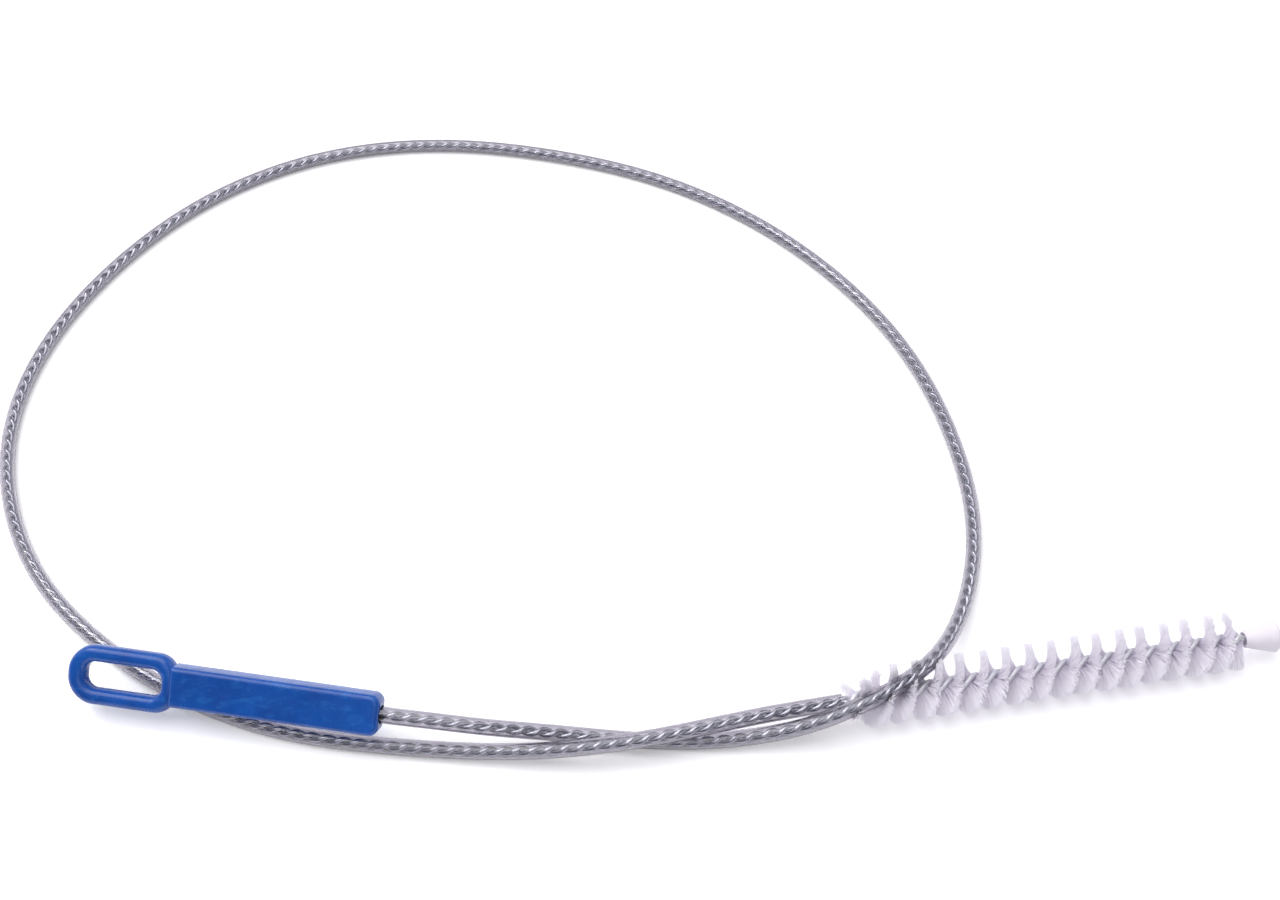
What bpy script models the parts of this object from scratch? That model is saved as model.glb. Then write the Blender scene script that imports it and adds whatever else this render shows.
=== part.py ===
"""Hose brush: a twisted-wire bristle head on a long clear-sheathed stem, with a moulded handle and a hanging eye.

Run with: blender --background --python part.py

Metres, +Z up. The tool lies on a table top at z = 0 with its stem bent round into one loose loop. The handle is at
the left and the bristle head at the right, and the stem's two ends cross between them. The origin is on the
table, under the middle of the handle and the head together.
"""

import math

import bmesh
import bpy
import numpy as np
from mathutils import Matrix, Vector

# Fits shared by all pieces
FIT_GAP = 0.0003
CUT_OVERRUN = 0.002

# Stem: two wires side by side in a clear sheath
WIRE_DIAMETER = 0.0013
WIRE_SPACING_GAP = 0.00006
SHEATH_DIAMETER = 0.004
SHEATH_WALL = 0.00045
STEM_STATIONS = 80
SPAN_SAMPLES = 24
SHEATH_BEVEL_RESOLUTION = 3
WIRE_BEVEL_RESOLUTION = 1

# Route of the stem's centre line, from the mouth of the handle's socket to the first bristles
STEM_ROUTE = (
    (-0.0721, -0.0130, 0.0100),
    (-0.0605, -0.0144, 0.0096),
    (-0.0476, -0.0150, 0.0078),
    (-0.0348, -0.0145, 0.0050),
    (-0.0229, -0.0145, 0.0030),
    (-0.0098, -0.0151, 0.0021),
    (0.0045, -0.0153, 0.0022),
    (0.0176, -0.0146, 0.0035),
    (0.0283, -0.0135, 0.0059),
    (0.0389, -0.0110, 0.0090),
    (0.0486, -0.0069, 0.0111),
    (0.0576, 0.0001, 0.0106),
    (0.0658, 0.0118, 0.0069),
    (0.0731, 0.0289, 0.0029),
    (0.0776, 0.0495, 0.0020),
    (0.0768, 0.0798, 0.0020),
    (0.0659, 0.1211, 0.0020),
    (0.0486, 0.1515, 0.0020),
    (0.0255, 0.1773, 0.0020),
    (-0.0061, 0.1991, 0.0020),
    (-0.0426, 0.2122, 0.0020),
    (-0.0812, 0.2169, 0.0020),
    (-0.1201, 0.2085, 0.0020),
    (-0.1531, 0.1846, 0.0020),
    (-0.1722, 0.1573, 0.0020),
    (-0.1847, 0.1256, 0.0020),
    (-0.1880, 0.0903, 0.0020),
    (-0.1808, 0.0597, 0.0020),
    (-0.1646, 0.0316, 0.0020),
    (-0.1434, 0.0112, 0.0020),
    (-0.1275, 0.0003, 0.0020),
    (-0.1076, -0.0091, 0.0020),
    (-0.0851, -0.0148, 0.0020),
    (-0.0634, -0.0173, 0.0021),
    (-0.0418, -0.0190, 0.0034),
    (-0.0251, -0.0193, 0.0056),
    (-0.0063, -0.0167, 0.0065),
    (0.0176, -0.0111, 0.0066),
    (0.0310, -0.0083, 0.0065),
    (0.0405, -0.0065, 0.0065),
)

# Handle: a flat bar and a rounded eye, lying across the stem and rolled on its own axis
HANDLE_YAW = math.radians(-9.4)
HANDLE_ROLL = math.radians(49)
HANDLE_LENGTH = 0.0776
BAR_WIDTH = 0.01
BAR_THICKNESS = 0.006
BAR_CORNER_RADIUS = 0.0024
BAR_NECK_RADIUS = 0.0014
BAR_EDGE_RADIUS = 0.0011
BAR_CORNER_STEPS = 6
BAR_EDGE_STEPS = 3
SHARP_ANGLE = math.radians(40)
EYE_LENGTH = 0.0264
EYE_WIDTH = 0.0146
EYE_SIDE_LIMB = 0.004
EYE_END_LIMB = 0.0045
EYE_NECK_LIMB = 0.0029
EYE_LIMB_THICKNESS = 0.005
EYE_END_RADIUS = 0.0068
EYE_NECK_RADIUS = 0.0056
EYE_OPENING_RADIUS = 0.0026
EYE_CORNER_STEPS = 7
EYE_SECTION_POINTS = 14
EYE_SECTION_SQUARENESS_SHARE = 0.8
EYE_SEAT = 0.0011
SOCKET_DEPTH = 0.03
SOCKET_SIDES = 24

# Bristle head: the same two wires, with the bristles pinched between them
HEAD_YAW = math.radians(10.3)
HEAD_LENGTH = 0.098
HEAD_HALF_TURNS = 17
HEAD_DIAMETER = 0.014
HEAD_WIRE_CENTRES = 0.0024
WIRE_STEPS_PER_HALF_TURN = 5
SPLAY_LENGTH = 0.003
BRISTLE_SHEET_GAP = 0.00015
BRISTLE_SHEET_WIDTH = 0.0032
BRISTLES_PER_SIDE = 160
BRISTLE_ROOT_SHARE = 0.9
BRISTLE_TIP_LENGTH = 0.00022
BRISTLE_TIP_THICKNESS = 0.00028
BRISTLE_LEAST_LENGTH = 0.0004
BRISTLE_SEARCH_STEP = 0.0001
BRISTLE_CLEARANCE = 0.0004

# Tip: a turned cone on the wires' ends
TIP_SET_OFF = 0.002
TIP_LENGTH = 0.0078
TIP_SMALL_DIAMETER = 0.0043
TIP_LARGE_DIAMETER = 0.0086
TIP_RIM_LENGTH = 0.0007
TIP_RIM_INSET = 0.0006
TIP_DOME_HEIGHT = 0.0011
TIP_DOME_STEPS = 4
TIP_SOCKET_DEPTH = 0.0055
TIP_STEPS = 28
MERGE_DISTANCE = 0.00001

# Finishes: colour (linear), roughness, metallic, opacity
HANDLE_BLUE = (0.014, 0.078, 0.33)
CLEAR_PVC = (0.62, 0.6, 0.68)
BRIGHT_STEEL = (0.56, 0.56, 0.58)
NYLON_WHITE = (0.78, 0.75, 0.85)
TIP_WHITE = (0.84, 0.8, 0.82)


def unit_vector(yaw):
    """Level direction that lies the given turn from +X."""
    return np.array([math.cos(yaw), math.sin(yaw), 0])


def placing(position, yaw, roll):
    """Matrix that rolls a piece on its own +X, turns it on +Z and then moves it."""
    turn = Matrix.Rotation(yaw, 4, "Z") @ Matrix.Rotation(roll, 4, "X")
    return Matrix.Translation(Vector(position)) @ turn


def principled(name, colour, roughness, metallic, alpha=1):
    """Material with one Principled shader."""
    material = bpy.data.materials.new(name)
    material.use_nodes = True
    shader = material.node_tree.nodes["Principled BSDF"]
    shader.inputs["Base Color"].default_value = (*colour, 1)
    shader.inputs["Roughness"].default_value = roughness
    shader.inputs["Metallic"].default_value = metallic
    shader.inputs["Alpha"].default_value = alpha
    return material


def add_object(name, data, parent, material=None):
    """Object in the scene that holds the data, dressed in the material."""
    obj = bpy.data.objects.new(name, data)
    bpy.context.scene.collection.objects.link(obj)
    obj.parent = parent
    if material:
        data.materials.append(material)
    return obj


def mesh_from(name, fill):
    """Mesh that a function fills in through bmesh, with its faces turned outwards."""
    mesh = bpy.data.meshes.new(name)
    bm = bmesh.new()
    fill(bm)
    bmesh.ops.recalc_face_normals(bm, faces=bm.faces)
    bm.to_mesh(mesh)
    bm.free()
    mesh.shade_smooth()
    mesh.set_sharp_from_angle(angle=SHARP_ANGLE)
    return mesh


def hide_tool(obj):
    """Marks an object as a cutter or a half of a join, which isn't a piece itself."""
    obj.hide_render = True
    obj.display_type = "WIRE"


def add_boolean(obj, tool, operation):
    """Joins the tool to the object or cuts it out."""
    hide_tool(tool)
    modifier = obj.modifiers.new(operation.title(), "BOOLEAN")
    modifier.object = tool
    modifier.operation = operation
    modifier.solver = "EXACT"


def add_bevel(obj, width, segments):
    """Rounds the object's sharp edges."""
    modifier = obj.modifiers.new("Rounded edges", "BEVEL")
    modifier.width = width
    modifier.segments = segments
    modifier.limit_method = "ANGLE"
    modifier.angle_limit = SHARP_ANGLE


def arc(centre, radius, start, steps):
    """Points of a quarter circle that begins at the given angle."""
    angles = start + np.linspace(0, math.pi / 2, steps + 1)
    return np.array(centre) + radius * np.stack([np.cos(angles), np.sin(angles)], axis=1)


def rounded_outline(low, high, half_width, radii, steps):
    """Outline of a bar from low to high along X: its corner radii are those at the high end and at the low end."""
    at_high, at_low = radii
    return np.concatenate(
        [
            arc((high - at_high, half_width - at_high), at_high, 0, steps),
            arc((low + at_low, half_width - at_low), at_low, math.pi / 2, steps),
            arc((low + at_low, at_low - half_width), at_low, math.pi, steps),
            arc((high - at_high, at_high - half_width), at_high, -math.pi / 2, steps),
        ]
    )


def smooth_route(points, start, end):
    """Dense points on one cubic curve through the route's points, which bends without a kink.

    The slopes at the points come from the rule that the bending is the same on both sides of each one.
    """
    points = np.array(points)
    spans = np.linalg.norm(np.diff(points, axis=0), axis=1)
    count = len(points)
    system = np.eye(count)
    wanted = np.zeros((count, 3))
    wanted[0], wanted[-1] = start, end
    for i in range(1, count - 1):
        before, after = spans[i - 1], spans[i]
        system[i, i - 1 : i + 2] = after, 2 * (before + after), before
        rise_before = (points[i] - points[i - 1]) / before
        rise_after = (points[i + 1] - points[i]) / after
        wanted[i] = 3 * (after * rise_before + before * rise_after)
    slopes = np.linalg.solve(system, wanted)
    t = np.linspace(0, 1, SPAN_SAMPLES, endpoint=False)[:, None, None]
    chords = np.diff(points, axis=0)
    leaving = slopes[:-1] * spans[:, None]
    arriving = slopes[1:] * spans[:, None]
    ease = 3 * t**2 - 2 * t**3
    dense = points[:-1] + ease * chords + (t**3 - 2 * t**2 + t) * leaving + (t**3 - t**2) * arriving
    return np.concatenate([dense.swapaxes(0, 1).reshape(-1, 3), points[-1:]])


def even_points(points, count):
    """The given number of points along a line of points, at even distances."""
    steps = np.linalg.norm(np.diff(points, axis=0), axis=1)
    distance = np.concatenate([[0], np.cumsum(steps)])
    wanted = np.linspace(0, distance[-1], count)
    return np.stack([np.interp(wanted, distance, points[:, axis]) for axis in range(3)], axis=1)


def stem_line():
    """Centre line of the stem, from the bottom of the handle's socket to where the wires start to splay."""
    handle_way = unit_vector(HANDLE_YAW)
    head_way = unit_vector(HEAD_YAW)
    route = smooth_route(STEM_ROUTE, handle_way, head_way)
    route[:, 2] = np.maximum(route[:, 2], SHEATH_DIAMETER / 2)
    inside = route[0] - (SOCKET_DEPTH - FIT_GAP) * handle_way
    before_splay = (route - route[-1]) @ head_way < -SPLAY_LENGTH
    before_splay[: len(route) // 2] = True
    end = route[-1] - SPLAY_LENGTH * head_way
    return even_points(np.concatenate([[inside], route[before_splay], [end]]), STEM_STATIONS)


def head_half_pitch():
    """Length of the head in which its wires turn by half a turn."""
    return HEAD_LENGTH / HEAD_HALF_TURNS


def twist_angle(along):
    """Turn of the wires at a distance along the head. It is left-handed, and the wires lie straight past both ends."""
    return -math.pi * np.clip(along, 0, HEAD_LENGTH) / head_half_pitch()


def head_wire_points(side):
    """Centre line of one wire from the head's start to its end in the tip, in the head's own frame."""
    closed = (WIRE_DIAMETER + WIRE_SPACING_GAP) / 2
    opened = HEAD_WIRE_CENTRES / 2
    steps = HEAD_HALF_TURNS * WIRE_STEPS_PER_HALF_TURN
    coil = np.linspace(0, HEAD_LENGTH, steps + 1)
    in_tip = HEAD_LENGTH + TIP_SET_OFF + TIP_SOCKET_DEPTH - FIT_GAP
    along = np.concatenate([coil, [HEAD_LENGTH + TIP_SET_OFF - FIT_GAP, in_tip]])
    radius = np.where(along > HEAD_LENGTH, closed, opened) * side
    angle = twist_angle(along)
    return np.stack([along, -radius * np.sin(angle), radius * np.cos(angle)], axis=1)


def head_matrix():
    """Place of the bristle head: its origin is at the first bristles and its +X runs to the tip."""
    return placing(STEM_ROUTE[-1], HEAD_YAW, 0)


def to_world(matrix, points):
    """Points of a piece's own frame in world coordinates."""
    matrix = np.array(matrix)
    return points @ matrix[:3, :3].T + matrix[:3, 3]


def add_tube(name, points, diameter, bevel_resolution, parent, material):
    """Round bar along a line of points."""
    curve = bpy.data.curves.new(name, "CURVE")
    curve.dimensions = "3D"
    curve.bevel_depth = diameter / 2
    curve.bevel_resolution = bevel_resolution
    curve.use_fill_caps = True
    spline = curve.splines.new("POLY")
    spline.points.add(len(points) - 1)
    spline.points.foreach_set("co", np.insert(points, 3, 1, axis=1).ravel())
    return add_object(name, curve, parent, material)


def add_core_wire(name, side, parent, material):
    """One wire, whole: straight beside its twin in the stem, twisted round it in the head."""
    stem = stem_line()
    stem[:, 2] += side * (WIRE_DIAMETER + WIRE_SPACING_GAP) / 2
    head = to_world(head_matrix(), head_wire_points(side))
    return add_tube(name, np.concatenate([stem, head]), WIRE_DIAMETER, WIRE_BEVEL_RESOLUTION, parent, material)


def add_sheath(parent, material):
    """Clear tube round the wires, open at both ends, with its bore left by an inward wall."""
    sheath = add_tube("stem_sheath", stem_line(), SHEATH_DIAMETER, SHEATH_BEVEL_RESOLUTION, parent, material)
    sheath.data.use_fill_caps = False
    wall = sheath.modifiers.new("Wall", "SOLIDIFY")
    wall.thickness = SHEATH_WALL
    wall.offset = -1
    wall.use_even_offset = True
    return sheath


def fill_bar(bm):
    """Flat bar of the handle, from its neck at the eye to the mouth of the socket at the origin."""
    low = EYE_LENGTH - EYE_SEAT - HANDLE_LENGTH
    radii = (BAR_CORNER_RADIUS, BAR_NECK_RADIUS)
    outline = rounded_outline(low, 0, BAR_WIDTH / 2, radii, BAR_CORNER_STEPS)
    face = bm.faces.new([bm.verts.new((x, y, -BAR_THICKNESS / 2)) for x, y in outline])
    made = bmesh.ops.extrude_face_region(bm, geom=[face])["geom"]
    top = [v for v in made if isinstance(v, bmesh.types.BMVert)]
    bmesh.ops.translate(bm, verts=top, vec=(0, 0, BAR_THICKNESS))


def eye_section():
    """Rounded section of the eye's limb, as shares of its half width and half thickness."""
    angles = np.linspace(0, 2 * math.pi, EYE_SECTION_POINTS, endpoint=False)
    across, up = np.cos(angles), np.sin(angles)
    power = EYE_SECTION_SQUARENESS_SHARE
    return np.sign(across) * np.abs(across) ** power, np.sign(up) * np.abs(up) ** power


def fill_eye(bm):
    """Hanging eye: a rounded section carried round between the eye's outline and that of its opening."""
    low, high, half_width = -HANDLE_LENGTH, EYE_LENGTH - HANDLE_LENGTH, EYE_WIDTH / 2
    radii = (EYE_NECK_RADIUS, EYE_END_RADIUS)
    outer = rounded_outline(low, high, half_width, radii, EYE_CORNER_STEPS)
    open_low, open_high = low + EYE_END_LIMB, high - EYE_NECK_LIMB
    open_radii = (EYE_OPENING_RADIUS, EYE_OPENING_RADIUS)
    inner = rounded_outline(open_low, open_high, half_width - EYE_SIDE_LIMB, open_radii, EYE_CORNER_STEPS)
    across, up = eye_section()
    flat = (outer + inner)[:, None] / 2 + (outer - inner)[:, None] / 2 * across[None, :, None]
    height = np.broadcast_to(EYE_LIMB_THICKNESS / 2 * up, flat.shape[:2])
    rings = [[bm.verts.new(co) for co in ring] for ring in np.dstack([flat, height])]
    for near, far in zip(rings, rings[1:] + rings[:1]):
        for i in range(EYE_SECTION_POINTS):
            j = (i + 1) % EYE_SECTION_POINTS
            bm.faces.new((near[i], near[j], far[j], far[i]))


def fill_socket(bm):
    """Cutter of the blind socket that holds the stem's end."""
    length = SOCKET_DEPTH + CUT_OVERRUN
    middle = Matrix.Translation((CUT_OVERRUN - length / 2, 0, 0))
    radius = SHEATH_DIAMETER / 2 + FIT_GAP
    bmesh.ops.create_cone(
        bm,
        cap_ends=True,
        segments=SOCKET_SIDES,
        radius1=radius,
        radius2=radius,
        depth=length,
        matrix=middle @ Matrix.Rotation(math.pi / 2, 4, "Y"),
    )


def add_handle(parent, material):
    """Handle: the bar with the eye joined on and the socket cut out."""
    handle = add_object("handle", mesh_from("handle", fill_bar), parent, material)
    handle.matrix_world = placing(STEM_ROUTE[0], HANDLE_YAW, HANDLE_ROLL)
    add_bevel(handle, BAR_EDGE_RADIUS, BAR_EDGE_STEPS)
    eye = add_object("eye_form", mesh_from("eye_form", fill_eye), handle)
    socket = add_object("socket_cutter", mesh_from("socket_cutter", fill_socket), handle)
    add_boolean(handle, eye, "UNION")
    add_boolean(handle, socket, "DIFFERENCE")
    return handle


def distance_to_line(points, line):
    """Least distance from each point to a line of points joined by straight runs."""
    start, run = line[:-1], np.diff(line, axis=0)
    offset = points[:, None] - start
    share = np.clip((offset * run).sum(axis=2) / (run**2).sum(axis=1), 0, 1)
    return np.linalg.norm(offset - share[:, :, None] * run, axis=2).min(axis=1)


def bristle_reach(along, outward):
    """How far from the axis a bristle's end lies: short of the full radius where the stem presses it down."""
    from_axis = np.arange(BRISTLE_SHEET_WIDTH / 2, HEAD_DIAMETER / 2, BRISTLE_SEARCH_STEP)
    root = np.array([along, 0, 0])
    way = to_world(head_matrix(), root + from_axis[:, None] * outward)
    near = distance_to_line(way, stem_line()) < SHEATH_DIAMETER / 2 + BRISTLE_CLEARANCE
    if not near.any():
        return HEAD_DIAMETER / 2
    least = BRISTLE_SHEET_WIDTH / 2 + BRISTLE_LEAST_LENGTH
    return max(from_axis[near.argmax()], least)


def sheet_axes(along):
    """Directions across the pinched sheet's face and along its width, where the wires have turned so far."""
    angle = twist_angle(along)
    across = np.array([0, -math.sin(angle), math.cos(angle)])
    outward = np.array([0, math.cos(angle), math.sin(angle)])
    return across, outward


def add_bristle(bm, face, along, side):
    """Grows one bristle out of a small face on the sheet's edge, tapered and cut off at the table."""
    across, outward = sheet_axes(along)
    reach = bristle_reach(along, side * outward)
    end = np.array([along, 0, 0]) + reach * side * outward
    grown = bmesh.ops.extrude_discrete_faces(bm, faces=[face])["faces"][0]
    table = -STEM_ROUTE[-1][2]
    for vert in grown.verts:
        offset = np.array(vert.co) - (along, 0, 0)
        forward = math.copysign(BRISTLE_TIP_LENGTH / 2, offset[0])
        sideways = math.copysign(BRISTLE_TIP_THICKNESS / 2, offset @ across)
        place = end + (forward, 0, 0) + sideways * across
        vert.co = (place[0], place[1], max(place[2], table))


def fill_bristles(bm):
    """Sheet of filaments pinched between the wires, wound with them, with the bristles grown from both its edges."""
    half_width = BRISTLE_SHEET_WIDTH / 2
    half_thickness = (HEAD_WIRE_CENTRES - WIRE_DIAMETER) / 2 - BRISTLE_SHEET_GAP
    half_pair = HEAD_LENGTH / BRISTLES_PER_SIDE / 2
    root = half_pair * BRISTLE_ROOT_SHARE
    stations = [0]
    for pair in range(BRISTLES_PER_SIDE):
        first = (2 * pair + 1 / 2) * half_pair
        stations += [first, first + root]
    stations.append(HEAD_LENGTH)
    rings = []
    for along in stations:
        across, outward = sheet_axes(along)
        corners = ((1, 1), (-1, 1), (-1, -1), (1, -1))
        places = [side * half_width * outward + face * half_thickness * across for side, face in corners]
        rings.append([bm.verts.new((along, place[1], place[2])) for place in places])
    bm.faces.new(rings[0])
    bm.faces.new(rings[-1])
    edges = {}
    for index, (near, far) in enumerate(zip(rings, rings[1:])):
        for i in range(4):
            j = (i + 1) % 4
            edges[index, i] = bm.faces.new((near[i], near[j], far[j], far[i]))
    for pair in range(BRISTLES_PER_SIDE):
        index = 2 * pair + 1
        along = (stations[index] + stations[index + 1]) / 2
        add_bristle(bm, edges[index, 3], along, 1)
        add_bristle(bm, edges[index, 1], along, -1)


def add_bristles(parent, material):
    """Bristles of the head, one solid with their pinched sheet."""
    bristles = add_object("bristles", mesh_from("bristles", fill_bristles), parent, material)
    bristles.matrix_world = head_matrix()
    return bristles


def tip_profile():
    """Profile of the tip as (radius, distance from its small end), from the dome's crown to the socket's bottom."""
    small, large = TIP_SMALL_DIAMETER / 2, TIP_LARGE_DIAMETER / 2
    rim = large - TIP_RIM_INSET
    turns = np.linspace(0, math.pi / 2, TIP_DOME_STEPS + 1)
    dome = [(rim * math.sin(a), TIP_LENGTH + TIP_DOME_HEIGHT * math.cos(a)) for a in turns]
    socket = WIRE_DIAMETER + WIRE_SPACING_GAP / 2 + FIT_GAP
    side = [(large, TIP_LENGTH - TIP_RIM_LENGTH), (small, 0)]
    return dome + side + [(socket, 0), (socket, TIP_SOCKET_DEPTH), (0, TIP_SOCKET_DEPTH)]


def fill_tip_profile(bm):
    """Half section of the tip, as a chain of edges for the Screw modifier to turn."""
    chain = [bm.verts.new((radius, 0, along)) for radius, along in tip_profile()]
    for near, far in zip(chain, chain[1:]):
        bm.edges.new((near, far))


def add_tip(parent, material):
    """Cone at the head's end, turned about its axis, with a blind socket for the wires."""
    tip = add_object("tip", mesh_from("tip", fill_tip_profile), parent, material)
    away = Matrix.Translation((HEAD_LENGTH + TIP_SET_OFF, 0, 0)) @ Matrix.Rotation(math.pi / 2, 4, "Y")
    tip.matrix_world = head_matrix() @ away
    turning = tip.modifiers.new("Turned", "SCREW")
    turning.steps = TIP_STEPS
    turning.render_steps = TIP_STEPS
    turning.use_merge_vertices = True
    turning.merge_threshold = MERGE_DISTANCE
    return tip


def print_stem_length():
    """Says how long the free stem is, from the handle to the first bristles."""
    line = smooth_route(STEM_ROUTE, unit_vector(HANDLE_YAW), unit_vector(HEAD_YAW))
    length = np.linalg.norm(np.diff(line, axis=0), axis=1).sum()
    print(f"free stem {length:.3f} m")


def main():
    """Builds the brush."""
    for obj in list(bpy.data.objects):
        bpy.data.objects.remove(obj, do_unlink=True)
    brush = add_object("hose_brush", None, None)
    steel = principled("bright steel wire", BRIGHT_STEEL, 0.25, 1)
    add_handle(brush, principled("blue moulded plastic", HANDLE_BLUE, 0.3, 0))
    add_sheath(brush, principled("clear PVC", CLEAR_PVC, 0.15, 0, 0.4))
    add_core_wire("core_wire_a", 1, brush, steel)
    add_core_wire("core_wire_b", -1, brush, steel)
    add_bristles(brush, principled("white nylon", NYLON_WHITE, 0.5, 0))
    add_tip(brush, principled("white moulded plastic", TIP_WHITE, 0.35, 0))
    print_stem_length()


main()
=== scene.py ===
"""Looks of the hose brush: twisted steel wires in a clear sheath, a nylon bristle head and a blue handle.

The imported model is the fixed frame. Each class below dresses one piece of the brush: it works its surface
out with numpy, in metres and in the frame's own coordinates, gives it a procedural material and lets it ride
on the frame.
"""

import logging
import math
from dataclasses import dataclass
from enum import Enum

import bmesh
import bpy
import numpy as np
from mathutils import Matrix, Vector

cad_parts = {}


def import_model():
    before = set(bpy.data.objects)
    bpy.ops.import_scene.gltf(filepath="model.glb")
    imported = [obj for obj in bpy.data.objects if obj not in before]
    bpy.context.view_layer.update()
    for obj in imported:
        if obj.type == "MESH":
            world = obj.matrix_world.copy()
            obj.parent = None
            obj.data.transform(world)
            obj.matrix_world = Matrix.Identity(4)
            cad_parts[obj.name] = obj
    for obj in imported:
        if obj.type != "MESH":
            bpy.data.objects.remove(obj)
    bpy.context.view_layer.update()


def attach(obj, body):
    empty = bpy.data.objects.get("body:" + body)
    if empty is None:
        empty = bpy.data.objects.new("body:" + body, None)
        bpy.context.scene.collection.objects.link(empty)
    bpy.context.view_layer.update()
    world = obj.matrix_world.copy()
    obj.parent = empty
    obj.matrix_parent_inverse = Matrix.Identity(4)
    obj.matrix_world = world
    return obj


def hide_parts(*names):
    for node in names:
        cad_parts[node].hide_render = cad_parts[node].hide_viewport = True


LOG = logging.getLogger("hose_brush")
MM = 0.001
MERGE_DISTANCE = MM / 1000

# Positions and sRGB hex colours of a colour ramp, in order
Stops = tuple[tuple[float, str], ...]

# Colour sockets of a Mix node, by number because its number and vector sockets have the same names
MIX_A, MIX_B, MIX_RESULT = 6, 7, 2

# Centre line of the stem, from the mouth of the handle's socket to the first bristles
STEM_ROUTE = (
    (-0.0721, -0.0130, 0.0100),
    (-0.0605, -0.0144, 0.0096),
    (-0.0476, -0.0150, 0.0078),
    (-0.0348, -0.0145, 0.0050),
    (-0.0229, -0.0145, 0.0030),
    (-0.0098, -0.0151, 0.0021),
    (0.0045, -0.0153, 0.0022),
    (0.0176, -0.0146, 0.0035),
    (0.0283, -0.0135, 0.0059),
    (0.0389, -0.0110, 0.0090),
    (0.0486, -0.0069, 0.0111),
    (0.0576, 0.0001, 0.0106),
    (0.0658, 0.0118, 0.0069),
    (0.0731, 0.0289, 0.0029),
    (0.0776, 0.0495, 0.0020),
    (0.0768, 0.0798, 0.0020),
    (0.0659, 0.1211, 0.0020),
    (0.0486, 0.1515, 0.0020),
    (0.0255, 0.1773, 0.0020),
    (-0.0061, 0.1991, 0.0020),
    (-0.0426, 0.2122, 0.0020),
    (-0.0812, 0.2169, 0.0020),
    (-0.1201, 0.2085, 0.0020),
    (-0.1531, 0.1846, 0.0020),
    (-0.1722, 0.1573, 0.0020),
    (-0.1847, 0.1256, 0.0020),
    (-0.1880, 0.0903, 0.0020),
    (-0.1808, 0.0597, 0.0020),
    (-0.1646, 0.0316, 0.0020),
    (-0.1434, 0.0112, 0.0020),
    (-0.1275, 0.0003, 0.0020),
    (-0.1076, -0.0091, 0.0020),
    (-0.0851, -0.0148, 0.0020),
    (-0.0634, -0.0173, 0.0021),
    (-0.0418, -0.0190, 0.0034),
    (-0.0251, -0.0193, 0.0056),
    (-0.0063, -0.0167, 0.0065),
    (0.0176, -0.0111, 0.0066),
    (0.0310, -0.0083, 0.0065),
    (0.0405, -0.0065, 0.0065),
)
SOCKET_MOUTH = np.array(STEM_ROUTE[0])
HEAD_START = np.array(STEM_ROUTE[-1])
HANDLE_YAW = math.radians(-9.4)
HANDLE_ROLL = math.radians(49)
HEAD_YAW = math.radians(10.3)

# A direction that no strand of the head follows
NO_STRANDS_WAY = (0.31, 0.17, 0.94)


class Side(Enum):
    """Which of the two wires, or of the two halves of the bristle sheet."""

    A = 1
    B = -1


class Shade(Enum):
    """How a mesh is shaded: rounded all over, or with edges kept that bend by more than so many degrees."""

    SMOOTH = 180
    CREASED = 38


def linear(hex_colour: str, alpha: float = 1.0) -> tuple[float, float, float, float]:
    """Turns an sRGB hex colour into the linear colour that a shader takes.

    Args:
        hex_colour: six hex digits, such as "2050a0".
        alpha: opacity, passed through.

    Returns:
        Linear red, green, blue and alpha.
    """
    share = np.array([int(hex_colour[i : i + 2], 16) for i in (0, 2, 4)]) / 255
    value = np.where(share <= 0.04045, share / 12.92, ((share + 0.055) / 1.055) ** 2.4)
    return (*map(float, value), alpha)


def feed(node: bpy.types.Node, inputs: dict) -> None:
    """Feeds a node's inputs: an output socket is linked, and any other value is set on the input itself.

    Args:
        node: the node.
        inputs: input name or number to an output socket or a value.
    """
    for name, value in inputs.items():
        if isinstance(value, bpy.types.NodeSocket):
            node.id_data.links.new(value, node.inputs[name])
        else:
            node.inputs[name].default_value = value


def add_node(
    tree: bpy.types.NodeTree, kind: str, inputs: dict | None = None, stops: Stops = (), **settings
) -> bpy.types.Node:
    """Adds a node with its settings and links.

    Args:
        tree: node tree that gets the node.
        kind: Blender's name of the node's type.
        inputs: input name or number to the output socket or the value that it takes.
        stops: the stops, if the node is a colour ramp.
        settings: property name to value.

    Returns:
        The new node.
    """
    node = tree.nodes.new(kind)
    for name, value in settings.items():
        setattr(node, name, value)
    if stops:
        elements = node.color_ramp.elements
        for element, (position, colour) in zip(elements, (stops[0], stops[-1])):
            element.position, element.color = position, linear(colour)
        for position, colour in stops[1:-1]:
            elements.new(position).color = linear(colour)
    feed(node, inputs or {})
    return node


def new_material(name: str) -> tuple[bpy.types.Material, bpy.types.NodeTree, bpy.types.Node]:
    """Makes a material with one Principled shader.

    Args:
        name: the finish's name.

    Returns:
        The material, its node tree and the shader.
    """
    material = bpy.data.materials.new(name)
    material.use_nodes = True
    return material, material.node_tree, material.node_tree.nodes["Principled BSDF"]


def shade_mesh(mesh: bpy.types.Mesh, shade: Shade) -> None:
    """Shades a mesh.

    Args:
        mesh: the mesh.
        shade: smooth or creased.
    """
    mesh.shade_smooth()
    if shade is Shade.CREASED:
        mesh.set_sharp_from_angle(angle=math.radians(shade.value))


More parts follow.
